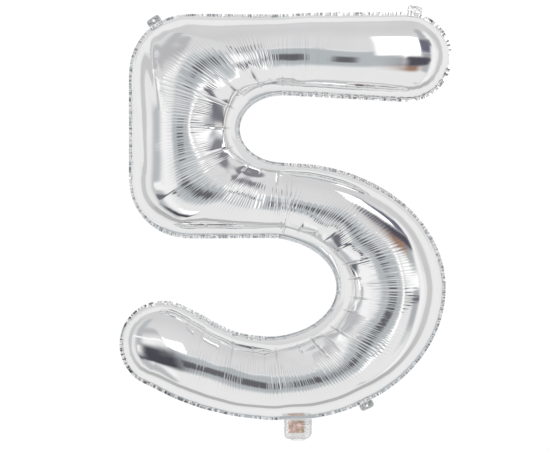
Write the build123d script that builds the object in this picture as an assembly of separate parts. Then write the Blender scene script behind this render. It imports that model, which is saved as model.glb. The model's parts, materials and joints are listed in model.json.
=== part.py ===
from build123d import *
import os
from math import acos, atan2, cos, degrees, hypot, radians, sin, sqrt

# Foil number balloon in the shape of the digit 5, inflated. Millimetres, +Z up, the front faces -Y.
# The digit is laid out from the left edge of its upright stroke (x = 0) and its lowest seam point
# (z = 0). Every piece is then moved so that the top left hang hole is the origin.

# The digit's outline, measured over the seam margin.
digit_height = 866.0
top_slope = 5.3 / 590  # the top edge rises slightly towards the right
corner_radius = 121.0  # both left corners
block_bottom = 386.9  # lower edge of the upright stroke

upper_bay_centre = (324.4, 618.0)
upper_bay_radii = (90.7, 71.6)
bar_lower_slope = -0.054  # lower edge of the top bar

bar_end_x = 589.4  # where the top bar's round end starts

lower_bay_centre = (292.6, 282.0)
lower_bay_radii = (148.4, 104.9)

bowl_centre = (330.7, 282.0)
bowl_right = 341.3
bowl_left = 426.1
bowl_up = 265.0
bowl_down = 282.0

tail_neck_inner = (103.9, 249.1)
tail_neck_outer_angle = 227.0
tail_handles = ((-95.0, 0.0), (72.0, -27.0))

# Where the film's section is laid across the stroke.
bar_stations = 4
upper_bay_angles = range(90, 271, 6)
lower_bay_first_angle = 75.0
lower_bay_angle_step = 7.5
lower_bay_stations = 23
tail_stations = 4

# Film, seam and inflated depth.
film_thickness = 0.8  # stands in for 0.05 mm film
seam_margin = 6.0
depth_base = 75.0
depth_share = 0.55  # inflated depth = depth_base + depth_share * stroke width
depth_limit = 198.0

# Hang tabs: place on the outline, and outward direction in degrees from +X towards +Z.
tab_width = 30.0
tab_height = 14.0
tab_thickness = 1.2
tab_corner = 6.0
tab_hole_radius = 2.5
tab_hole_height = 7.0
tab_notch_depth = 1.5
tab_notch_width = 32.0
cut_clearance = 2.0  # how far a cut runs past the films, and past the tail's two sides together
hinge_gap = 0.3
top_left_tab_angle = 122.5
top_right_tab_angle = 80.5
lower_right_tab_angle = -60.0

# Filling tail and valve.
tail_centre_x = 358.3
tail_width = 59.0
tail_length = 42.5
tail_corner = 9.0
tail_notch_z = 4.6
tail_ply = 0.8
mouth_overhang = 4.0
mouth_step = 0.2  # how far the mouth films stop short of the root's top
valve_film = 0.2
valve_width = 32.0
valve_top_z = 100.0
slot_half_gap = 0.3
slot_overrun = 3.2  # how far the valve slot runs past the seam margin, both ends together
ink_thickness = 0.1
ink_width = 10.0
ink_length = 70.0
print_width = 34.0
print_height = 26.0
print_thickness = 0.1
print_offset = (-3.2, -3.3)

film_inner = ink_thickness / 2
film_outer = film_inner + valve_film
ply_outer = film_outer + tail_ply
tail_hinge_z = tail_notch_z - hinge_gap - ply_outer
tab_hinge_drop = tab_notch_depth - hinge_gap - tab_thickness / 2


def bar_station(x):
    """Lower and upper outline points of the top bar at x."""
    base = upper_bay_centre[1] + upper_bay_radii[1]
    low = base + bar_lower_slope * (x - upper_bay_centre[0])
    return (x, low), (x, top_edge(x))


def top_edge(x):
    return digit_height - top_slope * (bar_end_x - x)


def bay_point(centre, radii, angle):
    a = radians(angle)
    return centre[0] + radii[0] * cos(a), centre[1] + radii[1] * sin(a)


def ray_to_block(start, through):
    """Where a ray meets the upright stroke's outer edge: two straight edges and a round corner."""
    dx, dz = through[0] - start[0], through[1] - start[1]
    flat_z = top_edge(0) if dz > 0 else block_bottom
    reach = [start[0] / -dx] if dx < -1e-9 else []
    if abs(dz) > 1e-9 and (flat_z - start[1]) / dz > 0:
        reach.append((flat_z - start[1]) / dz)
    t = min(reach)
    x, z = start[0] + t * dx, start[1] + t * dz
    side = 1 if dz > 0 else -1
    cx, cz = corner_radius, flat_z - side * corner_radius
    if x < cx and (z - cz) * side > 0:
        ox, oz = start[0] - cx, start[1] - cz
        a, b, c = dx * dx + dz * dz, ox * dx + oz * dz, ox * ox + oz * oz - corner_radius**2
        t = (-b + sqrt(b * b - a * c)) / a
        x, z = start[0] + t * dx, start[1] + t * dz
    return x, z


def ray_to_bowl(start, through):
    """Where a ray meets the bowl's outer edge, which is made of quarter ellipses."""
    dx, dz = through[0] - start[0], through[1] - start[1]
    ox, oz = start[0] - bowl_centre[0], start[1] - bowl_centre[1]
    rx = bowl_right if dx > 0 else bowl_left
    rz = bowl_up if dz > 0 else bowl_down
    a = (dx / rx) ** 2 + (dz / rz) ** 2
    b = ox * dx / rx**2 + oz * dz / rz**2
    c = (ox / rx) ** 2 + (oz / rz) ** 2 - 1
    t = (-b + sqrt(b * b - a * c)) / a
    return start[0] + t * dx, start[1] + t * dz


def bezier(p0, p1, p2, p3, t):
    s = 1 - t
    return tuple(s**3 * a + 3 * s * s * t * b + 3 * s * t * t * c + t**3 * d
                 for a, b, c, d in zip(p0, p1, p2, p3))


def stations():
    """Pairs of outline points across the stroke, from the top bar's end to the tail bulb."""
    pairs = []
    for i in range(bar_stations):
        x = bar_end_x + (upper_bay_centre[0] - bar_end_x) * i / bar_stations
        pairs.append(bar_station(x))
    for angle in upper_bay_angles:
        inner = bay_point(upper_bay_centre, upper_bay_radii, angle)
        pairs.append((inner, ray_to_block(upper_bay_centre, inner)))
    for i in range(lower_bay_stations):
        angle = lower_bay_first_angle - lower_bay_angle_step * i
        inner = bay_point(lower_bay_centre, lower_bay_radii, angle)
        pairs.append((ray_to_bowl(lower_bay_centre, inner), inner))
    low = bay_point(lower_bay_centre, lower_bay_radii, -90)
    handle_a = (low[0] + tail_handles[0][0], low[1])
    handle_b = (tail_neck_inner[0] + tail_handles[1][0], tail_neck_inner[1] + tail_handles[1][1])
    start_angle = 180 + degrees(acos((bowl_centre[0] - lower_bay_centre[0]) / bowl_left))
    for i in range(1, tail_stations + 1):
        t = i / tail_stations
        inner = bezier(low, handle_a, handle_b, tail_neck_inner, t)
        angle = start_angle + (tail_neck_outer_angle - start_angle) * t
        outer = bay_point(bowl_centre, (bowl_left, bowl_down), angle)
        pairs.append((outer, inner))
    return pairs


def half_depth(width):
    stroke = width - 2 * seam_margin
    return min(depth_base + depth_share * stroke, depth_limit) / 2


def station_plane(low, high):
    """A plane across the stroke: its x runs from low to high, its y towards the front."""
    centre = ((low[0] + high[0]) / 2, 0, (low[1] + high[1]) / 2)
    across = Vector(high[0] - low[0], 0, high[1] - low[1]).normalized()
    return Plane(origin=centre, x_dir=across, z_dir=across.cross(Vector(0, -1, 0)))


def film_arc(reach, depth, lift, start, end):
    """Half, or a quarter, of the film's oval section, as one edge."""
    return Edge.make_ellipse(reach, depth, Plane((0, lift, 0)), start, end)


def panel_section(low, high):
    """Section of the front film and its flat margins, closed on the seam plane."""
    width = hypot(high[0] - low[0], high[1] - low[1])
    edge, wall = width / 2, width / 2 - seam_margin
    depth, t = half_depth(width), film_thickness
    edges = [
        film_arc(wall, depth, t, 0, 180),
        Line((-wall, t), (-edge, t)).edge(),
        Line((-edge, t), (-edge, 0)).edge(),
        Line((-edge, 0), (-wall + t, 0)).edge(),
        film_arc(wall - t, depth, 0, 0, 180),
        Line((wall - t, 0), (edge, 0)).edge(),
        Line((edge, 0), (edge, t)).edge(),
        Line((edge, t), (wall, t)).edge(),
    ]
    return station_plane(low, high) * Wire(edges)


def end_dome(low, high, outward):
    """Rounded end of a stroke: the section's outer half, turned half a turn about its middle."""
    width = hypot(high[0] - low[0], high[1] - low[1])
    edge, wall = width / 2, width / 2 - seam_margin
    depth, t = half_depth(width), film_thickness
    edges = [
        film_arc(wall, depth, t, 0, 90),
        Line((0, depth + t), (0, depth)).edge(),
        film_arc(wall - t, depth, 0, 0, 90),
        Line((wall - t, 0), (edge, 0)).edge(),
        Line((edge, 0), (edge, t)).edge(),
        Line((edge, t), (wall, t)).edge(),
    ]
    plane = station_plane(low, high)
    face = plane * make_face(Wire(edges))
    return revolve(face, Axis(plane.origin, (0, -1, 0)), outward * 180)


def ellipse_normal(radii, angle):
    """Outward direction, in degrees, of an ellipse at a parameter angle."""
    a = radians(angle)
    return degrees(atan2(sin(a) / radii[1], cos(a) / radii[0]))


def tab_places():
    """Name, outline point and outward direction of each punched tab."""
    corner = (corner_radius, top_edge(0) - corner_radius)
    low, high = bar_station(bar_end_x)
    end_centre, end_radius = (bar_end_x, (low[1] + high[1]) / 2), (high[1] - low[1]) / 2
    bowl = (bowl_right, bowl_down)
    return [
        ("hang_tab_top_left", bay_point(corner, (corner_radius, corner_radius), top_left_tab_angle),
         top_left_tab_angle),
        ("hang_tab_top_right", bay_point(end_centre, (end_radius, end_radius), top_right_tab_angle),
         top_right_tab_angle),
        ("tie_tab_lower_right", bay_point(bowl_centre, bowl, lower_right_tab_angle),
         ellipse_normal(bowl, lower_right_tab_angle)),
    ]


def tab_plane(point, direction):
    """A plane at an outline point: its y points out of the digit, its z towards the front."""
    a = radians(direction)
    return Plane(origin=(point[0], 0, point[1]), x_dir=(sin(a), 0, -cos(a)), z_dir=(0, -1, 0))


def tab(point, direction):
    """A film tongue with a round root, round corners and a punched hole."""
    top = tab_height
    tongue = Pos(0, (top - tab_hinge_drop) / 2) * Rectangle(tab_width, top + tab_hinge_drop)
    tongue = fillet(tongue.vertices().filter_by(lambda v: v.Y > 0), tab_corner)
    tongue -= Pos(0, tab_hole_height) * Circle(tab_hole_radius)
    body = extrude(tongue, tab_thickness / 2, both=True)
    root = Pos(0, -tab_hinge_drop) * Rot(0, 90, 0) * Cylinder(tab_thickness / 2, tab_width)
    return tab_plane(point, direction) * (body + root)


def seam_cuts():
    """Cuts in the seam margins: a straight edge at each tab and at the tail, and the valve slot."""
    depth = 2 * film_thickness + cut_clearance
    cuts = []
    for _, point, direction in tab_places():
        cut = Pos(0, seam_margin - tab_notch_depth) * Box(tab_notch_width, 2 * seam_margin, depth)
        cuts.append(tab_plane(point, direction) * cut)
    tail_cut = Box(tail_width + cut_clearance, depth, 2 * seam_margin)
    cuts.append(Pos(tail_centre_x, 0, tail_notch_z - seam_margin) * tail_cut)
    slot_width = valve_width + 2 * slot_half_gap
    slot = Box(slot_width, 2 * slot_half_gap, seam_margin + slot_overrun)
    cuts.append(Pos(tail_centre_x, 0, tail_notch_z + seam_margin / 2) * slot)
    return cuts


def front_foil_panel():
    """Front film, bulged between its seams, with the flat heat-sealed margin round it."""
    pairs = stations()
    shell = Solid.make_loft([panel_section(low, high) for low, high in pairs], ruled=True)
    first, last = end_dome(*pairs[0], -1), end_dome(*pairs[-1], 1)
    return (shell + first + last) - seam_cuts()


def upright_film(width, low_z, high_z, near_y, far_y, x=tail_centre_x):
    """A flat film standing in the tail's plane, between two y values."""
    size = (width, abs(far_y - near_y), high_z - low_z)
    return Pos(x, (near_y + far_y) / 2, (low_z + high_z) / 2) * Box(*size)


def tail_ply_outline():
    """The tail's outline, seen from the front, with round lower corners."""
    sheet = Pos(0, -tail_length / 2) * Rectangle(tail_width, tail_length)
    return fillet(sheet.vertices().filter_by(lambda v: v.Y < -tail_length / 2), tail_corner)


def tail_front_ply():
    """One ply of the filling tail: its root is a quarter round about the hinge line."""
    plane = Plane(origin=(tail_centre_x, -film_outer, tail_hinge_z), x_dir=(1, 0, 0), z_dir=(0, -1, 0))
    body = extrude(plane * tail_ply_outline(), tail_ply)
    root = Pos(tail_centre_x, 0, tail_hinge_z) * Rot(0, 90, 0) * Cylinder(ply_outer, tail_width)
    keep = upright_film(tail_width, tail_hinge_z, tail_hinge_z + ply_outer, -film_outer, -2 * ply_outer)
    return body + (root & keep)


def tail_print_patch():
    """Plain printed panel on the tail's front."""
    centre_z = tail_hinge_z - print_height / 2 + print_offset[1]
    low, high = centre_z - print_height / 2, centre_z + print_height / 2
    near, far = -ply_outer, -ply_outer - print_thickness
    return upright_film(print_width, low, high, near, far, tail_centre_x + print_offset[0])


def build():
    parts = {"front_foil_panel": front_foil_panel(), "tail_front_ply": tail_front_ply()}
    film = (-film_inner, -film_outer)
    parts["valve_front_film"] = upright_film(valve_width, tail_notch_z, valve_top_z, *film)
    mouth_low = tail_hinge_z - tail_length - mouth_overhang
    mouth_top = tail_hinge_z + ply_outer - mouth_step
    parts["mouth_front_film"] = upright_film(valve_width, mouth_low, mouth_top, *film)
    for front in list(parts):
        parts[front.replace("front", "rear")] = mirror(parts[front], Plane.XZ)
    ink_low = tail_notch_z + seam_margin
    ink_high = ink_low + ink_length
    parts["valve_ink_strip"] = upright_film(ink_width, ink_low, ink_high, -film_inner, film_inner)
    parts["tail_print_patch"] = tail_print_patch()
    for name, point, direction in tab_places():
        parts[name] = tab(point, direction)
    return parts


def hang_point():
    """Centre of the top left hang hole, which is the origin of the finished part."""
    _, point, direction = tab_places()[0]
    return tab_plane(point, direction) * Pos(0, tab_hole_height)


os.makedirs("parts", exist_ok=True)
shift = hang_point().position
for name, shape in build().items():
    moved = Pos(-shift.X, 0, -shift.Z) * shape
    export_step(moved, f"parts/{name}.step")
    box = moved.bounding_box()
    print(name, len(moved.solids()), round(moved.volume), [round(v, 1) for v in (*box.min, *box.max)])
for name, point, direction in tab_places():
    plane = tab_plane(point, direction)
    for label, height in (("hole", tab_hole_height), ("hinge", -tab_hinge_drop)):
        place = (plane * Pos(0, height)).position
        print(name, label, round(place.X - shift.X, 3), round(place.Z - shift.Z, 3))
    print(name, "axis", plane.x_dir, "outward", plane.y_dir)
print("tail hinge", round(tail_centre_x - shift.X, 3), round(tail_hinge_z - shift.Z, 3))
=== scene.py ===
import json
import math
import bpy
import numpy as np
from mathutils import Matrix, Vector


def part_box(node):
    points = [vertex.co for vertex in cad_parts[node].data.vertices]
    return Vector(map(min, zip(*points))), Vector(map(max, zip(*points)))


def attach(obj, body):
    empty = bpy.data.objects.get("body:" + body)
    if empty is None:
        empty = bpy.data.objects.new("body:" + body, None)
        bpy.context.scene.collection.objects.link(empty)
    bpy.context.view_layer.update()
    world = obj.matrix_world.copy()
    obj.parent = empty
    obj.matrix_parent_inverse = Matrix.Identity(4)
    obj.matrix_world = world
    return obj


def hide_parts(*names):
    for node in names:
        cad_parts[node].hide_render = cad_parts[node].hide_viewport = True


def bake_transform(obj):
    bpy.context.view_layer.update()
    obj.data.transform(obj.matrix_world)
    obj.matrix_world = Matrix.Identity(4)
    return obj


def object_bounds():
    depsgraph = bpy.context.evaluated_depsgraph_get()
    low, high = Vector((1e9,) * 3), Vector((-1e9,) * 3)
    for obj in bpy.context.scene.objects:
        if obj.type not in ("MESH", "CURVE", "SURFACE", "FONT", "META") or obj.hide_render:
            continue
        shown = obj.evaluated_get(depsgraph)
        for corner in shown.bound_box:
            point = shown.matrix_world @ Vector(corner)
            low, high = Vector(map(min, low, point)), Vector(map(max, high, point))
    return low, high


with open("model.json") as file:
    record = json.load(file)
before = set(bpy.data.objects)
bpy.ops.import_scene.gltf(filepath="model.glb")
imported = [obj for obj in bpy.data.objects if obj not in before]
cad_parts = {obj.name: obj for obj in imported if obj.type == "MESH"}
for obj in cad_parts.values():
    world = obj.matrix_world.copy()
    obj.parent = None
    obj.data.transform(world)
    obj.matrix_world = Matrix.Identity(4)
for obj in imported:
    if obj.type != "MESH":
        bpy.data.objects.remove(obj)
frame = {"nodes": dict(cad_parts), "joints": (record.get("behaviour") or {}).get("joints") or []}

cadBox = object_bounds()
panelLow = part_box("front_foil_panel")[0]


class Value:  # a shader socket that takes part in sums
    def __init__(self, tree, socket=None):
        self.tree = tree
        self.socket = socket

    def node(self, kind, settings, sockets, out=0):
        made = self.tree.nodes.new("ShaderNode" + kind)
        for key, value in settings.items():
            if key == "stops":
                self.setStops(made.color_ramp.elements, value)
            else:
                setattr(made, key, value)
        for key, value in sockets.items():
            if isinstance(value, Value):
                self.tree.links.new(value.socket, made.inputs[key])
            else:
                made.inputs[key].default_value = value
        return Value(self.tree, made.outputs[out])

    def setStops(self, elements, stops):
        while len(elements) < len(stops):
            elements.new(0.5)
        for element, (position, colour) in zip(elements, stops):
            element.position = position
            element.color = (*colour, 1)

    def count(self, operation, *values):
        return self.node("Math", {"operation": operation}, dict(enumerate(values)))

    def __add__(self, other):
        return self.count("ADD", self, other)

    def __radd__(self, other):
        return self.count("ADD", other, self)

    def __sub__(self, other):
        return self.count("SUBTRACT", self, other)

    def __rsub__(self, other):
        return self.count("SUBTRACT", other, self)

    def __mul__(self, other):
        return self.count("MULTIPLY", self, other)

    def __rmul__(self, other):
        return self.count("MULTIPLY", other, self)

    def above(self, level, soft):  # 0 below the level, 1 above it
        sockets = {"Value": self, "From Min": level - soft, "From Max": level + soft}
        return self.node("MapRange", {"interpolation_type": "SMOOTHSTEP"}, sockets)

    def inside(self, low, high, soft):  # 1 between low and high
        return self.above(low, soft) * (1 - self.above(high, soft))

    def mix(self, first, second):  # the first colour where this is 0, the second where it is 1
        return self.node("Mix", {"data_type": "RGBA"}, {0: self, 6: first, 7: second}, out=2)

    def plug(self, socket):
        self.tree.links.new(self.socket, socket)


def newMaterial(name, **uniform):  # uniform values are set on the shader's own sockets
    made = bpy.data.materials.new(name)
    made.use_nodes = True
    main = made.node_tree.nodes["Principled BSDF"]
    for key, value in uniform.items():
        main.inputs[key].default_value = value
    return made, Value(made.node_tree), main


def grey(level, warm=0.0):
    return level * (1 + warm), level, level * (1 - warm), 1


camera = {
    "distance": 3.0,
    "frameWidth": 1.166,         # what the view takes in at the balloon
    "middle": (0.2573, -0.4332),
    "sensor": 36,
}


def makeCamera():
    place = (camera["middle"][0], -camera["distance"], camera["middle"][1])
    bpy.ops.object.camera_add(location=place, rotation=(math.pi / 2, 0, 0))
    made = bpy.context.object
    made.data.sensor_width = camera["sensor"]
    made.data.lens = camera["sensor"] * camera["distance"] / camera["frameWidth"]
    bpy.context.scene.camera = made


# far screens and lamps: azimuths from the front towards +X, then heights, in degrees, then how soft
# the edge is, then the tone as it looks in the film
studio = {
    "ceiling": ((-180, 180), (14, 91), 4, (0.875, 0.875, 0.88)),
    "highCeiling": ((-180, 180), (52, 91), 22, (0.83, 0.83, 0.835)),
    "rightFlat": ((46, 62), (-60, 60), 5, (0.70, 0.71, 0.72)),
    "rightLamp": ((64, 74), (-50, 50), 5, (0.98, 0.98, 0.98)),
    "leftFlat": ((-66, -50), (-60, 60), 6, (0.74, 0.75, 0.76)),
    "leftLamp": ((-46, -34), (-50, 12), 6, (0.98, 0.98, 0.985)),
    "stripLamp": ((-75, 9), (11, 14), 1, (1.03, 1.03, 1.03)),
    "greyScreen": ((-24, 16), (-32, 12), 6, (0.72, 0.74, 0.755)),
    "slimLamp": ((18, 23), (-32, 12), 1.5, (1.08, 1.08, 1.08)),
    "cameraStand": ((-12, 3.5), (-20, -4), 3, (0.40, 0.40, 0.42)),
    "rightPaneLow": ((24, 62), (-58, -30), 3, (0.93, 0.93, 0.93)),
    "rightPaneDark": ((22, 62), (-11, -5), 2, (0.46, 0.46, 0.49)),
    "rightPaneLit": ((28, 62), (3, 13), 2, (1.04, 1.04, 1.04)),
    "rightPaneHigh": ((28, 66), (20, 34), 3, (0.52, 0.52, 0.54)),
    "leftPaneDark": ((-64, -24), (-25, -17), 2, (0.44, 0.44, 0.47)),
    "leftPaneLit": ((-62, -24), (-12, -5), 2, (0.98, 0.98, 0.98)),
    "rearScreenLeft": ((-182, -148), (-34, 12), 5, (0.72, 0.74, 0.755)),
    "rearScreenRight": ((150, 182), (-34, 12), 5, (0.72, 0.74, 0.755)),
    "rearStand": ((166, 182), (-20, -4), 2, (0.36, 0.36, 0.38)),
    "rearLamp": ((-156, -150), (-34, 12), 1.5, (1.05, 1.05, 1.05)),
    "leftPaneHigh": ((-66, -28), (22, 36), 6, (0.74, 0.74, 0.75)),
}
# near screens in front of the balloon, which only the film mirrors: width and height range in metres,
# how far in front, the tone, and how much of the screen its soft edge takes
screens = {
    "lampRight": ((0.505, 0.83), (-0.10, 0.31), -0.35, (1.25, 1.25, 1.25), 0.10),
    "coatRight": ((0.74, 1.22), (-0.14, 0.36), -0.37, (0.42, 0.42, 0.49), 0.34),
    "coatRightLow": ((0.50, 1.20), (-0.30, -0.08), -0.36, (0.33, 0.32, 0.36), 0.30),
    "tableRight": ((0.52, 0.92), (-0.42, -0.20), -0.365, (0.62, 0.50, 0.43), 0.42),
    "coatLeft": ((-0.34, 0.12), (-0.88, -0.65), -0.24, (0.30, 0.30, 0.33), 0.36),
    "lampLeft": ((-0.06, 0.085), (-0.665, -0.575), -0.235, (1.2, 1.2, 1.2), 0.14),
}


def makeScreens():
    for name, (wide, tall, near, tone, edge) in screens.items():
        place = (sum(wide) / 2, near, sum(tall) / 2)
        bpy.ops.mesh.primitive_plane_add(size=1, location=place, rotation=(math.pi / 2, 0, 0))
        screen = bpy.context.object
        screen.name = name
        screen.scale = (wide[1] - wide[0], tall[1] - tall[0], 1)
        screen.visible_camera = screen.visible_diffuse = screen.visible_shadow = False
        made = bpy.data.materials.new(name)
        made.use_nodes = True
        v = Value(made.node_tree)
        flat = v.node("TexCoord", {}, {}, out="Object")
        mask = 1
        for axis in "XY":
            side = v.count("ABSOLUTE", v.node("SeparateXYZ", {}, {0: flat}, out=axis))
            mask = mask * (1 - side.above(0.5 - edge / 2, edge / 2))
        colour = (*(part ** surround["gamma"] for part in tone), 1)
        light = v.node("Emission", {}, {"Color": colour})
        clear = v.node("BsdfTransparent", {}, {})
        shown = v.node("MixShader", {}, {0: mask, 1: clear, 2: light})
        shown.plug(made.node_tree.nodes["Material Output"].inputs[0])
        screen.data.materials.append(made)


surround = {                     # tones of the rest of the studio
    "side": 0.93,
    "rim": (-0.14, 0.12),        # band beside the balloon, as the backward part of a direction
    "rimTone": 0.80,
    "floorRim": (-0.16, 0.05),
    "floorRimTone": 0.72,
    "back": (0.2, 0.62),         # the white backdrop lies between these backward parts
    "backTone": 0.945,
    "gamma": 2.2,
    "fill": 1.12,                # strength of the plain light on all that isn't a mirror
}


def makeWorld():
    world = bpy.data.worlds.new("studio")
    world.use_nodes = True
    bpy.context.scene.world = world
    v = Value(world.node_tree)
    way = v.node("TexCoord", {}, {}, out="Generated")
    dx = v.node("SeparateXYZ", {}, {0: way}, out="X")
    dy = v.node("SeparateXYZ", {}, {0: way}, out="Y")
    dz = v.node("SeparateXYZ", {}, {0: way}, out="Z")
    azimuth = v.count("ARCTAN2", dx, 0 - dy) * math.degrees(1)
    height = v.count("ARCSINE", dz) * math.degrees(1)
    tone = grey(surround["side"])
    for sides, heights, soft, colour in studio.values():
        mask = height.inside(*heights, soft)
        if sides[1] - sides[0] < 360:
            mask = mask * azimuth.inside(*sides, soft)
        tone = mask.mix(tone, (*colour, 1))
    beside, below = v.count("ABSOLUTE", dx).above(0.6, 0.2), (0 - dz).above(0.6, 0.2)
    rim = dy.inside(*surround["rim"], 0.03) * beside
    tone = rim.mix(tone, grey(surround["rimTone"]))
    floorRim = dy.inside(*surround["floorRim"], 0.02) * below
    tone = floorRim.mix(tone, grey(surround["floorRimTone"]))
    tone = dy.inside(*surround["back"], 0.03).mix(tone, grey(surround["backTone"]))
    light = v.node("Gamma", {}, {"Color": tone, "Gamma": surround["gamma"]})
    mirrored = v.node("Background", {}, {"Color": light})
    plain = v.node("Background", {}, {"Color": grey(1.0), "Strength": surround["fill"]})
    ray = v.node("LightPath", {}, {}, out="Is Glossy Ray")
    seen = v.node("MixShader", {}, {0: ray, 1: plain, 2: mirrored})
    seen.plug(world.node_tree.nodes["World Output"].inputs[0])


stroke = {
    "upperBay": (0.3448, 0.6169),    # centre of the upper bay's round end, from the panel's low corner
    "lowerBay": (0.3130, 0.2809),
    "barEnd": 0.6098,                # where the top bar's round end starts
    "barMiddle": 0.775,
    "bellyTurn": 75,                 # degrees, direction across the stroke where the second bend starts
    "neck": (0.0925, 0.1613),        # middle of the stroke where the tail's round end starts
    "neckTurn": -110,
    "upperReach": 0.17,              # from a bay's centre to the middle of the stroke
    "lowerReach": 0.20,
    "tailBow": 0.012,                # how far the tail's middle bows up
    "margin": 0.006,                 # flat seam margin
    "seamLevel": -0.0008,            # where the front margin's outer face lies
    "outlineStep": 0.003,
    "outlineRounds": 30,             # rounds of smoothing for the outline, the seams and the depth
    "seamRounds": 12,
    "depthRounds": 300,
    "depthBase": 0.075,
    "depthShare": 0.55,
    "depthLimit": 0.198,
    "barTaper": 0.15,                # how far from its round end the top bar starts to thin
    "tailTaper": 0.14,
    "barDrop": (0.011, 0.30),        # how much the crown sinks towards an end, and from how far
    "tailDrop": (0.008, 0.28),
    "shoulder": 0.226,               # where the fold beside a bend's inner seam lies, and how high it is
    "shoulderHeight": 0.76,
    "shoulderShare": 0.75,
}
# how many columns of points each part of the stroke has, and how many faces lie across it
columns = {"dome": 60, "bar": 110, "upperBend": 520, "belly": 40, "lowerBend": 620, "tail": 130}
rows = 54
flange = (1.0, 0.66, 0.33)           # rows of the seam margin, as shares of its width


def seamOutline(node, level):  # outer edge of a panel's flat margin, as an ordered loop
    mesh = frame["nodes"][node].data
    same, points, index = {}, [], []
    for vert in mesh.vertices:
        key = tuple(round(c * 1e5) for c in vert.co)
        if key not in same:
            same[key] = len(points)
            points.append((vert.co.x, vert.co.z, vert.co.y))
        index.append(same[key])
    uses = {}
    for face in mesh.polygons:
        loop = [index[v] for v in face.vertices]
        if all(abs(points[v][2] - level) < 2e-5 for v in loop):
            for a, b in zip(loop, loop[1:] + loop[:1]):
                edge = (min(a, b), max(a, b))
                uses[edge] = uses.get(edge, 0) + 1
    beside = {}
    for (a, b), count in uses.items():
        if count == 1:
            beside.setdefault(a, []).append(b)
            beside.setdefault(b, []).append(a)
    loops, seen = [], set()
    for start in beside:
        if start in seen:
            continue
        loop = [start]
        seen.add(start)
        onward = [v for v in beside[start] if v not in seen]
        while onward:
            loop.append(onward[0])
            seen.add(onward[0])
            onward = [v for v in beside[loop[-1]] if v not in seen]
        loops.append(np.array([points[v][:2] for v in loop]))
    return max(loops, key=lambda loop: np.linalg.norm(np.roll(loop, -1, 0) - loop, axis=1).sum())


def evenLoop(loop, step):
    closed = np.vstack([loop, loop[:1]])
    along = steps(closed)
    marks = np.linspace(0, along[-1], int(along[-1] / step), endpoint=False)
    return np.stack([np.interp(marks, along, closed[:, k]) for k in (0, 1)], 1)


def smoothLoop(loop, times):
    for _ in range(times):
        loop = loop + ((np.roll(loop, 1, 0) + np.roll(loop, -1, 0)) / 2 - loop) / 2
    return loop


def smoothRun(values, times):  # smooths along an open run, ends held
    values = values.copy()
    for _ in range(times):
        values[1:-1] = (values[:-2] + 2 * values[1:-1] + values[2:]) / 4
    return values


def soften(values, reach):  # gaussian smoothing of a run, reach in columns
    span = np.arange(-3 * reach, 3 * reach + 1)
    kernel = np.exp(-(span / reach) ** 2 / 2)
    padded = np.pad(values, 3 * reach, mode="edge")
    return np.convolve(padded, kernel / kernel.sum(), mode="valid")


def steps(points):  # length up to each point of a run
    return np.r_[0, np.cumsum(np.linalg.norm(np.diff(points, axis=0), axis=1))]


def fade(x, low, high):  # 0 below low, 1 above high, smooth between
    t = np.clip((x - low) / (high - low), 0, 1)
    return t * t * (3 - 2 * t)


def drift(rng, x, pitch, parts=5):  # smooth random run about 0, within about 1
    total = np.zeros_like(x)
    for _ in range(parts):
        total += np.sin(2 * math.pi * x / (pitch * rng.uniform(0.6, 1.9)) + rng.uniform(0, 2 * math.pi))
    return total / math.sqrt(parts)


def heading(degrees):
    return np.array([math.cos(math.radians(degrees)), math.sin(math.radians(degrees))])


def crossing(loop, start, direction):  # nearest point of the loop along a ray
    edge = np.roll(loop, -1, 0) - loop
    off = loop - start
    det = direction[0] * edge[:, 1] - direction[1] * edge[:, 0]
    det = np.where(abs(det) < 1e-12, 1e-12, det)
    reach = (off[:, 0] * edge[:, 1] - off[:, 1] * edge[:, 0]) / det
    part = (off[:, 0] * direction[1] - off[:, 1] * direction[0]) / det
    good = (reach > 1e-4) & (part >= 0) & (part <= 1)
    return start + direction * reach[good].min()


def guideLines():  # middle of the stroke and direction towards its left side, for each column
    low = np.array([panelLow.x, panelLow.z])
    upper, lower = low + stroke["upperBay"], low + stroke["lowerBay"]
    lines = []
    for t in np.linspace(0, 1, columns["bar"], endpoint=False):
        x = low[0] + stroke["barEnd"] + (upper[0] - low[0] - stroke["barEnd"]) * t
        lines.append((np.array([x, low[1] + stroke["barMiddle"]]), 270))
    for t in np.linspace(0, 1, columns["upperBend"], endpoint=False):
        turn = 90 + 180 * t
        lines.append((upper + stroke["upperReach"] * heading(turn), turn + 180))
    first = upper + stroke["upperReach"] * heading(270)
    last = lower + stroke["lowerReach"] * heading(stroke["bellyTurn"])
    for t in np.linspace(0, 1, columns["belly"], endpoint=False):
        turn = 90 + (stroke["bellyTurn"] - 90) * t
        lines.append((first + (last - first) * t, turn + 360))
    for t in np.linspace(0, 1, columns["lowerBend"], endpoint=False):
        turn = stroke["bellyTurn"] + (-90 - stroke["bellyTurn"]) * t
        lines.append((lower + stroke["lowerReach"] * heading(turn), turn + 360))
    start, end = lower + stroke["lowerReach"] * heading(-90), low + stroke["neck"]
    bow = np.array([(start[0] + end[0]) / 2, start[1] + stroke["tailBow"]])
    for t in np.linspace(0, 1, columns["tail"]):
        place = (1 - t) ** 2 * start + 2 * t * (1 - t) * bow + t * t * end
        lines.append((place, 270 + (stroke["neckTurn"] + 90) * t))
    return lines


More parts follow.
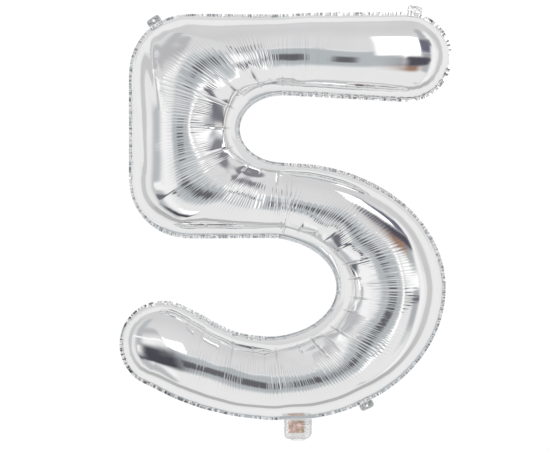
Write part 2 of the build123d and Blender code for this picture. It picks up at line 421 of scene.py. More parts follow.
def strokeSides():  # middle, half width and half depth of the stroke at each column, round ends included
    loop = evenLoop(seamOutline("front_foil_panel", stroke["seamLevel"]), stroke["outlineStep"])
    loop = smoothLoop(loop, stroke["outlineRounds"])
    left, right = [], []
    for place, turn in guideLines():
        side = heading(turn)
        left.append(crossing(loop, place, side) - side * stroke["margin"])
        right.append(crossing(loop, place, -side) + side * stroke["margin"])
    left, right = (smoothRun(np.array(side), stroke["seamRounds"]) for side in (left, right))
    middle, half = (left + right) / 2, (left - right) / 2
    width = np.linalg.norm(half, axis=1) * 2
    depth = np.minimum(stroke["depthBase"] + stroke["depthShare"] * width, stroke["depthLimit"]) / 2
    depth = smoothRun(depth, stroke["depthRounds"])
    along = steps(middle)
    for drop, back in (("barDrop", along), ("tailDrop", along[-1] - along)):
        sink, reach = stroke[drop]
        depth = depth - sink * (1 - fade(back, 0, reach))
    runs = []
    for end, beside, taper in ((0, 1, "barTaper"), (-1, -2, "tailTaper")):
        out = np.array([half[end][1], -half[end][0]])
        if out @ (middle[end] - middle[beside]) < 0:
            out = -out
        turns = np.linspace(0, math.pi / 2, columns["dome"] + 1)[1:]
        reach = np.linalg.norm(half[end])
        total = reach + stroke[taper]
        fullness = np.sqrt(1 - ((stroke[taper] + reach * np.sin(turns)) / total) ** 4)
        runs.append((middle[end] + np.outer(np.sin(turns), out), np.outer(np.cos(turns), half[end]),
                     depth[end] * fullness))
        inward = np.clip((stroke[taper] - abs(along - along[end])) / total, 0, 1)
        depth = depth * np.sqrt(1 - inward ** 4)
    (m0, h0, d0), (m1, h1, d1) = runs
    middle = np.vstack([m0[::-1], middle, m1])
    half = np.vstack([h0[::-1], half, h1])
    depth = np.r_[d0[::-1], depth, d1]
    return middle, half, depth


wrinkles = {
    "facetPitch": (0.018, 0.042),    # spacing of the sharp radial creases at a bend's inner seam
    "facetHeight": 0.0050,
    "shoulder": (0.195, 0.235),      # the fold parallel to the inner seam, as a share of the section
    "facetLength": 0.085,            # where the next fold lies beyond it, and where the facets end
    "facetEnd": 0.46,
    "foldWidth": 0.007,
    "creaseDepth": 0.0016,
    "creaseWidth": 0.0032,
    "creaseReach": (0.30, 0.50),     # where a crease ends, as a share of the section
    "creaseLean": (0.006, 0.09),     # how far the creases lean along the seam, and how quickly that changes
    "finePitch": 0.0056,
    "fineHeight": 0.00018,
    "fineStart": (0.335, 0.04),      # where the fine waves start on the section, and by how much that varies
    "fineEnd": (0.54, 0.66),
    "hatchEnd": (60, 110),           # where the fine waves end along the tail, in columns
    "tailFacets": 0.75,
    "mediumPitch": 0.014,
    "mediumHeight": 0.00010,
    "puckerPitch": (0.008, 0.022),   # spacing of the short grooves along the outer seams
    "puckerDepth": 0.0022,
    "puckerReach": 0.016,
    "puckerWidth": (0.0028, 0.10),   # at the seam, and how much it widens away from it
    "ruffleHeight": 0.0012,
    "rufflePitch": (0.026, 0.011),
    "ruffleReach": 0.018,
    "swellHeight": 0.00064,
    "swells": 6,
    "swellRate": (25, 60),           # radians per metre
    "seamLean": 0.10,                # forward lean of the seam margin, as a slope
    "filmGap": 0.00025,              # half the gap between the two films in the margin
}


# long folds that run in from the corners: from, to, height and half width in metres
pleats = (
    ((-0.004, -0.032), (0.024, -0.200), 0.0045, 0.016),
    ((0.012, -0.026), (0.170, -0.066), 0.0030, 0.022),
    ((-0.045, -0.120), (-0.020, -0.330), -0.0022, 0.014),
    ((-0.020, -0.420), (0.085, -0.330), 0.0014, 0.028),
    ((0.030, -0.445), (0.140, -0.385), 0.0010, 0.022),
    ((0.000, -0.640), (0.052, -0.700), 0.0010, 0.020),
    ((-0.040, -0.690), (0.050, -0.705), -0.0008, 0.018),
)


def pleatRelief(x, z):
    relief = np.zeros_like(x)
    for start, end, height, wide in pleats:
        run = np.subtract(end, start)
        share = ((x - start[0]) * run[0] + (z - start[1]) * run[1]) / (run @ run)
        share = np.clip(share, 0, 1)
        away = np.hypot(x - start[0] - share * run[0], z - start[1] - share * run[1])
        ends = np.sin(math.pi * np.clip(share, 0, 1)) ** 0.7
        relief += height * np.clip(1 - away / wide, 0, 1) ** 1.4 * ends
    return relief


def spread(rng, total, pitch):  # marks at uneven spacings
    found = [rng.uniform(*pitch) / 2]
    while found[-1] < total:
        found.append(found[-1] + rng.uniform(*pitch))
    return np.array(found)


def bendRelief(rng, along, inner, share, mid):
    # height of the radial facets, creases and waves on one side, and how much painted shade lies in its
    # creases and wave troughs there;
    # share is 0 at that side's seam
    w = wrinkles
    tailStart = len(inner) - columns["dome"] - columns["tail"]
    onward = 1 - fade(np.arange(len(inner)) - tailStart, *w["hatchEnd"])
    onward = onward * (np.arange(len(inner)) > tailStart - 60) * (inner[tailStart - 60] > 0.3)
    onward = soften(onward, 12)      # the wrinkles run on from the last bend into the tail
    marks = spread(rng, along[-1], w["facetPitch"])
    heights = rng.uniform(-1, 1, len(marks)) * w["facetHeight"]
    innerHeights = rng.uniform(-0.7, 0.7, len(marks)) * w["facetHeight"]
    breaks = rng.uniform(*w["shoulder"], len(marks))
    lengths, strengths = rng.uniform(*w["creaseReach"], len(marks)), rng.uniform(0.2, 1, len(marks))
    a, f = along[:, None], share[None, :]
    lean = w["creaseLean"][0] * drift(rng, along, w["creaseLean"][1])[:, None] * f
    near = np.clip(np.searchsorted(marks, along), 1, len(marks) - 1)
    leaning = (a + lean).ravel()
    facet, ridge, second = (np.interp(leaning, marks, values).reshape(len(along), len(share))
                            for values in (heights, breaks, innerHeights))
    far = ridge + w["facetLength"]
    between = facet + (second - facet) * (f - ridge) / (far - ridge)
    beyond = second * np.clip((w["facetEnd"] - f) / (w["facetEnd"] - far), 0, 1)
    relief = np.where(f < ridge, facet * f / ridge, np.where(f < far, between, beyond))
    # painted shade along the shoulder fold and in the radial creases, kept as an amount of darkening
    shoulderShade = np.exp(-((f - ridge) / w["foldWidth"]) ** 2) * strengths[near][:, None]
    crease = 0.8 * shoulderShade
    stretch = 1 + 2.2 * f
    for k in (-1, 0):
        pick = near + k
        gap = abs(a + lean - marks[pick][:, None]) * stretch
        groove = np.clip(1 - gap / (w["creaseWidth"] * (1 + 2 * f)), 0, 1) ** 1.3
        reach = lengths[pick][:, None]
        run = fade(f, ridge - 0.05, ridge) * (1 - fade(f, reach * 0.7, reach))
        deep = strengths[pick][:, None] * groove * run
        relief -= w["creaseDepth"] * deep
        crease = np.maximum(crease, deep)
    patch = 0.35 + 0.65 * fade(drift(rng, mid, 0.10)[:, None], -0.9, 0.6)
    phase = 2 * math.pi * mid / w["finePitch"] + 2.5 * drift(rng, mid, 0.06)
    fine = np.sin(phase)[:, None] + 0.4 * np.sin(2 * phase + 1)[:, None]
    starts = w["fineStart"][0] + w["fineStart"][1] * drift(rng, mid, 0.05)[:, None]
    hatch = patch * fade(f, starts, starts + 0.06) * (1 - fade(f, *w["fineEnd"]))
    reach = np.maximum(fade(soften(inner, 30), 0.02, 0.35), onward)[:, None]
    phase = 2 * math.pi * mid / w["mediumPitch"] + 3 * drift(rng, mid, 0.08)
    medium = 1 - 2 * abs(np.sin(phase / 2))
    relief += w["mediumHeight"] * medium[:, None] * fade(f, 0.34, 0.42) * (1 - fade(f, 0.5, 0.6))
    folds = np.maximum(inner, w["tailFacets"] * onward)[:, None]
    relief = relief * folds + w["fineHeight"] * fine * hatch * reach
    # painted shade in the troughs of the fine waves
    crease = crease * folds + 0.35 * np.clip(-fine, 0, 1) * hatch * reach
    return relief, crease


def seamRelief(rng, along, amount, away):
    # height of the short grooves that start at a gathered seam; away is the distance from it
    w = wrinkles
    marks = spread(rng, along[-1], w["puckerPitch"])
    depths, reaches = rng.uniform(0.2, 1, len(marks)) ** 1.5, rng.uniform(0.4, 1.6, len(marks))
    near = np.clip(np.searchsorted(marks, along), 1, len(marks) - 1)
    relief = np.zeros(away.shape)
    for k in (-1, 0):
        pick = near + k
        gap = abs(along - marks[pick])[:, None]
        groove = np.exp(-(gap / (w["puckerWidth"][0] + w["puckerWidth"][1] * away)) ** 1.3)
        fall = np.exp(-away / (w["puckerReach"] * reaches[pick][:, None]))
        relief -= w["puckerDepth"] * depths[pick][:, None] * groove * fall
    return relief * amount[:, None]


def seamSides(run, inwards):  # outward direction of a seam in the seam plane
    tangent = np.gradient(run, axis=0)
    out = np.stack([tangent[:, 1], -tangent[:, 0]], 1)
    out /= np.maximum(np.linalg.norm(out, axis=1, keepdims=True), 1e-12)
    middleColumn = len(run) // 2
    return out if out[middleColumn] @ inwards[middleColumn] > 0 else -out


print("stroke of the digit")
middle, half, depth = strokeSides()
theta = np.linspace(0, math.pi, rows + 1)
leftSeam, rightSeam = middle + half, middle - half
leftOut, rightOut = seamSides(leftSeam, half), seamSides(rightSeam, -half)
alongLeft, alongRight, alongMid = steps(leftSeam), steps(rightSeam), steps(middle)


def tightness(alongSide):  # 0 on a straight or outer side, 1 on the inner side of a tight bend
    share = 1 - np.gradient(alongSide) / np.maximum(np.gradient(alongMid), 1e-9)
    tight = fade(soften(np.clip(share, 0, 1), 8), 0.08, 0.32)
    tight[:columns["dome"]] = 0
    tight[-columns["dome"]:] = 0
    return soften(tight, 12)


bendLeft, bendRight = tightness(alongLeft), tightness(alongRight)
ruffleRng = np.random.default_rng(5)


def ruffle(seam, along, bend):
    long, short = wrinkles["rufflePitch"]
    wave = drift(ruffleRng, along, long, 7) + 0.4 * drift(ruffleRng, along, short, 4)
    root = np.array([sum(corner.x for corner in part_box("tail_front_ply")) / 2, panelLow.z])
    clear = fade(np.linalg.norm(seam - root, axis=1), 0.03, 0.06)  # flat where the tail is welded on
    return wrinkles["ruffleHeight"] * wave * (1 - 0.9 * bend) * clear


ruffleLeft = ruffle(leftSeam, alongLeft, bendLeft)
ruffleRight = ruffle(rightSeam, alongRight, bendRight)


def foldedSection(c):  # height of the section beside an inner seam; c is 0 at the seam, 1 at the crown
    edge, high = stroke["shoulder"], stroke["shoulderHeight"]
    steep = high * (np.minimum(c, edge) / edge) ** 0.6
    flat = (1 - high) * np.sin(math.pi / 2 * np.clip((c - edge) / (1 - edge), 0, 1))
    return steep + flat


def filmShape(seed):  # the bulged film with its flat margins, columns x rows x 3, and the painted shade in its creases
    rng = np.random.default_rng(seed)
    cos, sin = np.cos(theta)[None, :], np.sin(theta)[None, :]
    x = middle[:, :1] + half[:, :1] * cos
    z = middle[:, 1:] + half[:, 1:] * cos
    fullLeft, fullRight = soften(bendLeft, 22), soften(bendRight, 22)
    full = stroke["shoulderShare"] * np.where(cos > 0, fullLeft[:, None], fullRight[:, None])
    y = -depth[:, None] * ((1 - full) * sin + full * foldedSection(1 - abs(cos)))
    base = np.stack([x, y, z], 2)
    normal = np.cross(np.gradient(base, axis=0), np.gradient(base, axis=1))
    normal /= np.maximum(np.linalg.norm(normal, axis=2, keepdims=True), 1e-12)
    if normal[:, rows // 2, 1].mean() > 0:
        normal = -normal
    arc = np.linalg.norm(np.diff(base, axis=1), axis=2)
    fromLeft = np.concatenate([np.zeros((len(middle), 1)), np.cumsum(arc, 1)], 1)
    fromRight = fromLeft[:, -1:] - fromLeft
    share = theta / math.pi
    relief, crease = bendRelief(rng, alongLeft, bendLeft, share, alongMid)
    otherRelief, otherCreaseShade = bendRelief(rng, alongRight, bendRight, 1 - share, alongMid)
    relief += otherRelief
    crease = np.maximum(crease, otherCreaseShade)
    relief += seamRelief(rng, alongLeft, 1 - 0.9 * bendLeft, fromLeft)
    relief += seamRelief(rng, alongRight, 1 - 0.9 * bendRight, fromRight)
    for _ in range(wrinkles["swells"]):
        wave = rng.uniform(*wrinkles["swellRate"]) * heading(rng.uniform(0, 360))
        swell = np.sin(x * wave[0] + z * wave[1] + rng.uniform(0, 2 * math.pi))
        relief += wrinkles["swellHeight"] * swell * np.sqrt(np.clip(sin, 0, 1))
    relief += pleatRelief(x, z)
    relief *= np.clip(sin * 12, 0, 1) * fade(depth, 0.004, 0.03)[:, None]
    shape = base + normal * relief[:, :, None]
    reach = wrinkles["ruffleReach"]
    near = np.exp(-fromLeft / reach) * ruffleLeft[:, None]
    near += np.exp(-fromRight / reach) * ruffleRight[:, None]
    tips = fade(depth, 0.0, 0.02)[:, None]
    shape[:, :, 1] += near * tips - wrinkles["filmGap"]
    sides = []
    for seam, out, wave in ((leftSeam, leftOut, ruffleLeft), (rightSeam, rightOut, ruffleRight)):
        strips = []
        for part in flange:
            outward = part * stroke["margin"] * out
            lean = wrinkles["seamLean"] * outward[:, 1]
            height = wave * tips[:, 0] * (1 + 0.5 * part) + lean - wrinkles["filmGap"]
            strips.append(np.stack([seam[:, 0] + outward[:, 0], height, seam[:, 1] + outward[:, 1]], 1))
        sides.append(np.stack(strips, 1))
    bare = np.zeros((len(middle), len(flange)))
    verts = np.concatenate([sides[0], shape, sides[1][:, ::-1]], 1)
    return verts, np.concatenate([bare, crease, bare], 1)


def addPiece(name, verts, faces, body, slot, material, *replaced):
    mesh = bpy.data.meshes.new(name)
    mesh.from_pydata(verts.tolist(), [], faces)
    piece = bpy.data.objects.new(name, mesh)
    bpy.context.scene.collection.objects.link(piece)
    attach(piece, body)
    return finishPiece(piece, slot, material, *replaced)


def finishPiece(piece, slot, material, *replaced):
    piece.data.materials.clear()
    piece.data.materials.append(material)
    for face in piece.data.polygons:
        face.use_smooth = True
    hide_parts(*replaced)
    return piece


def gridFaces(count, across, turned):
    faces = []
    for i in range(count - 1):
        for j in range(across - 1):
            a = i * across + j
            loop = (a, a + 1, a + across + 1, a + across)
            faces.append(loop[::-1] if turned else loop)
    return faces


def only(piece):  # makes a piece the one selected, active object
    bpy.ops.object.select_all(action="DESELECT")
    piece.select_set(True)
    bpy.context.view_layer.objects.active = piece


def mergePoints(piece, gap=1e-6):
    only(piece)
    bpy.ops.object.mode_set(mode="EDIT")
    bpy.ops.mesh.select_all(action="SELECT")
    bpy.ops.mesh.remove_doubles(threshold=gap)
    bpy.ops.mesh.dissolve_degenerate(threshold=gap)
    bpy.ops.object.mode_set(mode="OBJECT")


def markSeal(piece, across, crease):  # where the film is heat sealed, the painted shade in its creases, and its own flat map
    marked = piece.data.attributes.new("crease", "FLOAT", "POINT")
    marked.data.foreach_set("value", crease.ravel().astype(np.float32))
    seal = piece.data.attributes.new("seal", "FLOAT", "POINT")
    row = np.tile(np.arange(across), len(middle))
    edge = np.minimum(row, across - 1 - row)
    seal.data.foreach_set("value", np.clip((len(flange) + 0.5 - edge), 0, 1).astype(np.float32))
    filmMap = piece.data.uv_layers.new(name="film")
    along = np.repeat(alongMid, across)
    loops = np.array([loop.vertex_index for loop in piece.data.loops])
    flat = np.stack([along[loops], row[loops] * flatFilm["rowStep"]], 1)
    filmMap.data.foreach_set("uv", flat.astype(np.float32).ravel())


def foilMaterial():
    made, v, main = newMaterial("silver_foil", Metallic=1.0)
    place = v.node("TexCoord", {}, {}, out="Object")
    film = v.node("UVMap", {"uv_map": "film"}, {})
    seal = v.node("Attribute", {"attribute_name": "seal"}, {}, out="Fac")
    cloud = v.node("TexNoise", {}, {"Vector": place, "Scale": 9.0, "Detail": 3.0})
    handling = v.node("TexNoise", {}, {"Vector": place, "Scale": 45.0, "Detail": 5.0})
    tone = cloud.above(0.5, 0.25).mix(grey(0.91), grey(0.945))
    tone = (seal * 0.5).mix(tone, grey(0.86))
    paintedCreaseShade = v.node("Attribute", {"attribute_name": "crease"}, {}, out="Fac")
    # painted shade: the foil's colour is darkened in its creases and wave troughs
    tone = (paintedCreaseShade * 0.75).mix(tone, grey(0.30))
    tone.plug(main.inputs["Base Color"])
    rough = 0.03 + 0.05 * cloud.above(0.5, 0.3) + 0.03 * handling.above(0.62, 0.06)
    (rough + 0.07 * seal + 0.1 * paintedCreaseShade).plug(main.inputs["Roughness"])
    crinkle = v.node("TexNoise", {}, {"Vector": place, "Scale": 240.0, "Detail": 2.0})
    alongFilm = v.node("SeparateXYZ", {}, {0: film}, out="X")
    press = v.count("SINE", alongFilm * (2 * math.pi / flatFilm["sealPitch"])) * 0.5 + 0.5
    height = crinkle * 0.10 + seal * press * 0.6
    bump = v.node("Bump", {}, {"Strength": 0.22, "Distance": 0.0004, "Height": height})
    bump.plug(main.inputs["Normal"])
    return made


flatFilm = {
    "size": (0.82, 1.0),         # what each panel is cut from, before the balloon is filled
    "area": 0.594,
    "rowStep": 0.005,            # between rows on the film's own map
    "sealPitch": 0.0022,         # of the ribs that the sealing jaws press
}
foil = foilMaterial()
across = rows + 1 + 2 * len(flange)
for name, node, seed, front in (("front_film", "front_foil_panel", 11, True),
                                ("rear_film", "rear_foil_panel", 12, False)):
    print("film panel", name)
    shape, crease = filmShape(seed)
    if not front:
        shape[:, :, 1] *= -1
    faces = gridFaces(len(middle), across, not front)
    piece = addPiece(name, shape.reshape(-1, 3), faces, "envelope", "silver_foil", foil, node)
    markSeal(piece, across, crease)
    mergePoints(piece)

tab = {
    "hole": 0.0025,
    "rim": 1.5,                  # size of the first ring of faces round the hole
    "holeHeight": 0.0076,        # from the hinge line
    "halfWidth": 0.015,
    "height": 0.0146,
    "corner": 0.006,
    "film": 0.00016,
    "area": 0.000403,            # without the hole and the round corners
    "cuts": 6,
    "sides": 48,
    "crumples": ((0.0035, 0.0022), (0.0090, 0.0040)),    # size and height of the creases
}


def tabEdge(x, y):  # pushes a point out from the hole's centre onto the tab's outline
    flat = tab["halfWidth"] / max(abs(x), 1e-9)
    up = (tab["height"] - tab["holeHeight"] if y > 0 else tab["holeHeight"]) / max(abs(y), 1e-9)
    reach = min(flat, up)
    cornerX, cornerY = tab["halfWidth"] - tab["corner"], tab["height"] - tab["holeHeight"] - tab["corner"]
    if abs(x) * reach > cornerX and y * reach > cornerY:
        a = x * x + y * y
        b = abs(x) * cornerX + y * cornerY
        c = cornerX * cornerX + cornerY * cornerY - tab["corner"] ** 2
        reach = (b + math.sqrt(max(b * b - a * c, 0))) / a
    return x * reach, y * reach


def flatTab():  # a punched film tongue in its own plane, its hinge line along x
    centre = (0, tab["holeHeight"], 0)
    bpy.ops.object.select_all(action="DESELECT")
    bpy.ops.mesh.primitive_circle_add(vertices=tab["sides"], radius=tab["hole"], location=(0, 0, 0))
    piece = bpy.context.object
    bpy.ops.object.mode_set(mode="EDIT")
    bpy.ops.mesh.extrude_region_move()
    bpy.ops.transform.resize(value=(tab["rim"], tab["rim"], 1))
    bpy.ops.mesh.extrude_region_move()
    bpy.ops.object.mode_set(mode="OBJECT")
    for vert in piece.data.vertices:
        if vert.select:
            vert.co.x, vert.co.y = tabEdge(vert.co.x, vert.co.y)
    bpy.ops.object.mode_set(mode="EDIT")
    bpy.ops.mesh.select_all(action="SELECT")
    bpy.ops.mesh.subdivide(number_cuts=tab["cuts"])
    bpy.ops.mesh.normals_make_consistent(inside=False)
    bpy.ops.transform.translate(value=centre)
    bpy.ops.object.mode_set(mode="OBJECT")
    return piece


def finishModifiers(piece):
    only(piece)
    for modifier in list(piece.modifiers):
        bpy.ops.object.modifier_apply(modifier=modifier.name)


def crumple(piece, turn):  # presses creases into a tab, more towards its tip
    free = piece.vertex_groups.new(name="free")
    for vert in piece.data.vertices:
        free.add([vert.index], min(max(vert.co.y / tab["height"], 0), 1) ** 0.7, "REPLACE")
    for size, height in tab["crumples"]:
        texture = bpy.data.textures.new("creases", "VORONOI")
        texture.noise_scale = size * (1 + 0.2 * turn)
        press = piece.modifiers.new("press", "DISPLACE")
        press.texture = texture
        press.direction = "Z"
        press.strength = height * (-1 if turn % 2 else 1)
        press.vertex_group = "free"
    finishModifiers(piece)
    wall = piece.modifiers.new("wall", "SOLIDIFY")
    wall.thickness = tab["film"]
    wall.offset = 0
    finishModifiers(piece)


def jointNamed(name):
    return next(joint for joint in frame["joints"] if joint["name"] == name)


def makeTabs(material):
    flat = flatTab()
    places = (("tab_flex_top_left", "hang_tab_top_left"), ("tab_flex_top_right", "hang_tab_top_right"),
              ("tab_flex_lower_right", "tie_tab_lower_right"))
    for turn, (jointName, node) in enumerate(places):
        joint = jointNamed(jointName)
        piece = flat.copy()
        piece.data = flat.data.copy()
        piece.name = node + "_film"
        bpy.context.scene.collection.objects.link(piece)
        crumple(piece, turn)
        ax, _, az = joint["axis"]
        x, y, z = joint["pos_m"]
        piece.matrix_world = Matrix(((ax, -az, 0, x), (0, 0, -1, y), (az, ax, 0, z), (0, 0, 0, 1)))
        only(piece)
        bpy.ops.object.transform_apply(location=True, rotation=True, scale=True)
        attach(piece, joint["child"])
        finishPiece(piece, "seam_foil", material, node)
    bpy.data.objects.remove(flat)


def creasedFoil():
    made, v, main = newMaterial("creased_foil", Metallic=1.0)
    place = v.node("TexCoord", {}, {}, out="Object")
    cells = v.node("TexVoronoi", {"feature": "DISTANCE_TO_EDGE"}, {"Vector": place, "Scale": 330.0})
    cloud = v.node("TexNoise", {}, {"Vector": place, "Scale": 160.0, "Detail": 4.0})
    creaseLineShade = 1 - cells.above(0.06, 0.05)
    # painted shade along the crease lines between the crumpled cells
    (creaseLineShade * 0.8).mix(grey(0.78), grey(0.25)).plug(main.inputs["Base Color"])
    (0.10 + 0.12 * cloud + 0.15 * creaseLineShade).plug(main.inputs["Roughness"])
    bump = v.node("Bump", {}, {"Strength": 0.5, "Distance": 0.0004, "Height": cells + cloud * 0.3})
    bump.plug(main.inputs["Normal"])
    return made


print("punched tabs")
makeTabs(creasedFoil())

tail = {
    "rise": 0.0008,              # how far the plies reach above the hinge line
    "blend": 0.003,              # how far below it the end point worked out for the plies lies
    "corner": 0.009,
    "rightCorner": 1.7,          # how much rounder the right corner is
    "wave": 0.0007,              # how far the side edges waver
    "edgeWaves": (300, 780),     # how often, in radians per metre
    "crinkles": ((0.0004, 420, 260, 0), (0.0003, 700, -510, 1.3)),   # height, rates across and down, start
    "plyGap": 0.00055,           # from the middle of the tail to each layer
    "mouthGap": 0.00015,
    "printGap": 0.00068,
    "border": 0.0045,
    "smoothTop": 0.006,          # how far below the hinge line the crinkles start fully
    "sleeveEdge": (0.002, 0.0003),   # corner and waver of the sleeve's films, then of the print
    "printEdge": (0.001, 0.0002),
    "flatPly": (0.059, 0.0433),
    "flatSleeve": (0.032, 0.0473),
    "grid": (84, 64),
    # folds: from, to in metres from the middle of the tail's top, then height and half width
    "folds": (
        ((0.004, -0.007), (0.030, -0.004), 0.0016, 0.0024),
        ((0.009, -0.013), (0.030, -0.011), -0.0016, 0.0022),
        ((0.016, -0.018), (0.027, -0.027), 0.0015, 0.0024),
        ((0.011, -0.024), (0.022, -0.033), -0.0013, 0.0020),
        ((-0.024, -0.038), (0.012, -0.034), 0.0010, 0.0026),
        ((-0.027, -0.010), (-0.019, -0.030), 0.0009, 0.0022),
        ((-0.010, -0.003), (-0.006, -0.020), 0.0006, 0.0018),
    ),
}


def tailCrinkle(x, z):  # how far the tail's layers lie behind the seam plane at a place
    middleX, hinge = tailMiddle()
    u, v = x - middleX, z - hinge
    behind = sum(height * np.sin(u * over + v * down + first)
                 for height, over, down, first in tail["crinkles"])
    for start, end, height, wide in tail["folds"]:
        run = np.subtract(end, start)
        share = np.clip(((u - start[0]) * run[0] + (v - start[1]) * run[1]) / (run @ run), 0, 1)
        away = np.hypot(u - start[0] - share * run[0], v - start[1] - share * run[1])
        behind = behind + height * np.clip(1 - away / wide, 0, 1)
    return behind * fade(-v, 0.0, tail["smoothTop"])


def tailMiddle():
    x, _, z = jointNamed("tail_flex")["pos_m"]
    return x, z


def tailLayer(name, node, gap, corner, wave, slot, material):
    low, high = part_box(node)
    top = min(high.z, tailMiddle()[1] + tail["rise"])
    wide, tall = high.x - low.x, top - low.z
    bpy.ops.object.select_all(action="DESELECT")
    bpy.ops.mesh.primitive_grid_add(x_subdivisions=tail["grid"][0], y_subdivisions=tail["grid"][1], size=1)
    piece = bpy.context.object
    piece.name = name
    count = len(piece.data.vertices)
    flat = np.empty(count * 3)
    piece.data.vertices.foreach_get("co", flat)
    u, v = flat.reshape(-1, 3)[:, 0] * 2, flat.reshape(-1, 3)[:, 1] + 0.5
    rise = v * tall
    corner = np.where(u > 0, corner * tail["rightCorner"], corner)
    side = wide / 2 - corner + np.sqrt(np.maximum(corner ** 2 - np.maximum(corner - rise, 0) ** 2, 0))
    slow, quick = tail["edgeWaves"]
    side = side - wave * (0.6 + 0.4 * np.sin(rise * slow + np.sign(u)) + 0.5 * np.sin(rise * quick))
    lift = wave * np.sin(u * 5 + 1) * (1 - v) ** 4
    x, z = (low.x + high.x) / 2 + u * side, low.z + rise + lift
    y = tailCrinkle(x, z) + gap
    piece.data.vertices.foreach_set("co", np.stack([x, y, z], 1).ravel())
    edge = np.minimum((1 - abs(u)) * side, rise)
    # painted shade on the folds, stored together with the welded border in the border attribute
    foldShade = fade(abs(y - gap), 0.0007, 0.0017)
    border = piece.data.attributes.new("border", "FLOAT", "POINT")
    marked = np.maximum(1 - fade(edge, tail["border"] * 0.6, tail["border"]), foldShade)
    border.data.foreach_set("value", marked.astype(np.float32))
    if gap > 0:
        piece.data.flip_normals()
    piece.data.update()
    x, hinge = tailMiddle()
    if name == "tail_print":
        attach(piece, "tail")
    else:
        start, end = (x, 0, hinge + tail["rise"]), (x, 0, hinge - tail["blend"])
        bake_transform(piece)
    return finishPiece(piece, slot, material, node)


def tailFilmMaterial():
    made, v, main = newMaterial("tail_film", **{"Specular IOR Level": 0.6})
    place = v.node("TexCoord", {}, {}, out="Object")
    border = v.node("Attribute", {"attribute_name": "border"}, {}, out="Fac")
    cloud = v.node("TexNoise", {}, {"Vector": place, "Scale": 120.0, "Detail": 4.0})
    cells = v.node("TexVoronoi", {"feature": "DISTANCE_TO_EDGE"}, {"Vector": place, "Scale": 210.0})
    creaseLineShade = 1 - cells.above(0.04, 0.04)
    # the welded border is greyer, and the same attribute carries the painted shade of the folds
    tone = (border * 0.9).mix(grey(0.86), grey(0.66))
    # painted shade along the crease lines
    tone = (creaseLineShade * 0.5).mix(tone, grey(0.50))
    tone.plug(main.inputs["Base Color"])
    (0.18 + 0.25 * cloud).plug(main.inputs["Roughness"])
    (0.42 + 0.22 * cloud + 0.25 * border + 0.2 * creaseLineShade).plug(main.inputs["Alpha"])
    bump = v.node("Bump", {}, {"Strength": 0.35, "Distance": 0.0004, "Height": cells + cloud * 0.5})
    bump.plug(main.inputs["Normal"])
    return made


def printMaterial():
    made, v, main = newMaterial("print_ink")
    place = v.node("TexCoord", {}, {}, out="Object")
    cloud = v.node("TexNoise", {}, {"Vector": place, "Scale": 110.0, "Detail": 4.0})
    speck = v.node("TexNoise", {}, {"Vector": place, "Scale": 700.0, "Detail": 2.0})
    stops = ((0.36, (0.30, 0.27, 0.17)), (0.46, (0.50, 0.37, 0.29)), (0.54, (0.58, 0.33, 0.32)),
             (0.66, (0.78, 0.68, 0.58)))
    tone = v.node("ValToRGB", {"stops": stops}, {"Fac": cloud})
    (speck.above(0.60, 0.05) * 0.5).mix(tone, (0.86, 0.80, 0.75, 1)).plug(main.inputs["Base Color"])
    (0.45 + 0.2 * speck).plug(main.inputs["Roughness"])
    v.node("Bump", {}, {"Strength": 0.2, "Distance": 0.0001, "Height": speck}).plug(main.inputs["Normal"])
    return made


def clearFilmMaterial(name, tone, alpha):
    made, v, main = newMaterial(name)
    place = v.node("TexCoord", {}, {}, out="Object")
    cloud = v.node("TexNoise", {}, {"Vector": place, "Scale": 90.0, "Detail": 4.0})
    fine = v.node("TexNoise", {}, {"Vector": place, "Scale": 900.0, "Detail": 2.0})
    darker = (*(part * 0.85 for part in tone), 1)
    cloud.above(0.5, 0.2).mix((*tone, 1), darker).plug(main.inputs["Base Color"])
    (0.22 + 0.2 * cloud + 0.1 * fine).plug(main.inputs["Roughness"])
    (alpha + 0.15 * cloud).plug(main.inputs["Alpha"])
    v.node("Bump", {}, {"Strength": 0.2, "Distance": 0.0002, "Height": fine}).plug(main.inputs["Normal"])
    return made


def makeTail():
    milky, ink = tailFilmMaterial(), printMaterial()
    clear = clearFilmMaterial("valve_film", (0.84, 0.84, 0.83), 0.30)
    ply, sleeve = (tail["corner"], tail["wave"]), tail["sleeveEdge"]
    front = tailLayer("tail_front_film", "tail_front_ply", -tail["plyGap"], *ply, "tail_film", milky)
    rear = tailLayer("tail_rear_film", "tail_rear_ply", tail["plyGap"], *ply, "tail_film", milky)
    mouthFront = tailLayer("mouth_front_sleeve", "mouth_front_film", -tail["mouthGap"], *sleeve,
                           "valve_film", clear)
    mouthRear = tailLayer("mouth_rear_sleeve", "mouth_rear_film", tail["mouthGap"], *sleeve,
                          "valve_film", clear)
    patch = tailLayer("tail_print", "tail_print_patch", -tail["printGap"], *tail["printEdge"],
                      "print_ink", ink)


print("filling tail")
makeTail()

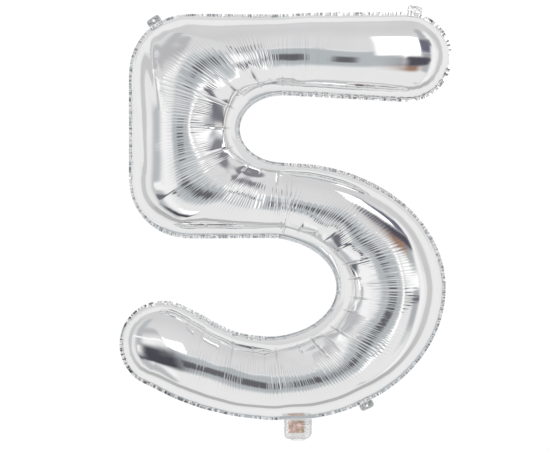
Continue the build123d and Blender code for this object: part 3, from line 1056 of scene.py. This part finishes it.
print("valve inside the balloon")
innerFilm = clearFilmMaterial("inner_valve_film", (0.86, 0.86, 0.85), 0.45)
innerInk = clearFilmMaterial("release_ink", (0.74, 0.44, 0.40), 0.85)
for node, material in (("valve_front_film", innerFilm), ("valve_rear_film", innerFilm),
                       ("valve_ink_strip", innerInk)):
    for slot in frame["nodes"][node].material_slots:
        slot.material = material

floor = {
    "drop": 2.6,                 # below the balloon
    "size": 18.0,
    "wall": 8.0,
    "back": 8.0,                 # how far behind the balloon the wall stands
    "across": 0.25,              # the middle of the floor, along X
    "cove": 2.5,
}


def makeFloor():  # a pale floor that turns up into a wall behind
    level = cadBox[0][2] - floor["drop"]
    place = (floor["across"], floor["back"] - floor["size"] / 2, level)
    bpy.ops.object.select_all(action="DESELECT")
    bpy.ops.mesh.primitive_plane_add(size=floor["size"], location=place)
    sweep = bpy.context.object
    sweep.name = "floor"
    bpy.ops.object.mode_set(mode="EDIT")
    bpy.ops.mesh.select_all(action="DESELECT")
    bpy.ops.object.mode_set(mode="OBJECT")
    for edge in sweep.data.edges:
        edge.select = all(sweep.data.vertices[k].co.y > 0 for k in edge.vertices)
    bpy.ops.object.mode_set(mode="EDIT")
    bpy.ops.mesh.select_mode(type="EDGE")
    bpy.ops.mesh.extrude_region_move(TRANSFORM_OT_translate={"value": (0, 0, floor["wall"])})
    bpy.ops.object.mode_set(mode="OBJECT")
    cove = sweep.modifiers.new("cove", "BEVEL")
    cove.width = floor["cove"]
    cove.segments = 24
    finishModifiers(sweep)
    for face in sweep.data.polygons:
        face.use_smooth = True
    made, v, main = newMaterial("pale_floor", Roughness=0.9)
    place = v.node("TexCoord", {}, {}, out="Object")
    cloud = v.node("TexNoise", {}, {"Vector": place, "Scale": 1.5, "Detail": 3.0})
    cloud.mix(grey(0.93), grey(0.955)).plug(main.inputs["Base Color"])
    sweep.data.materials.append(made)
    sweep.visible_glossy = False


print("floor, light and camera")
makeFloor()
makeCamera()
makeWorld()
makeScreens()
bpy.context.scene.view_settings.view_transform = "Standard"
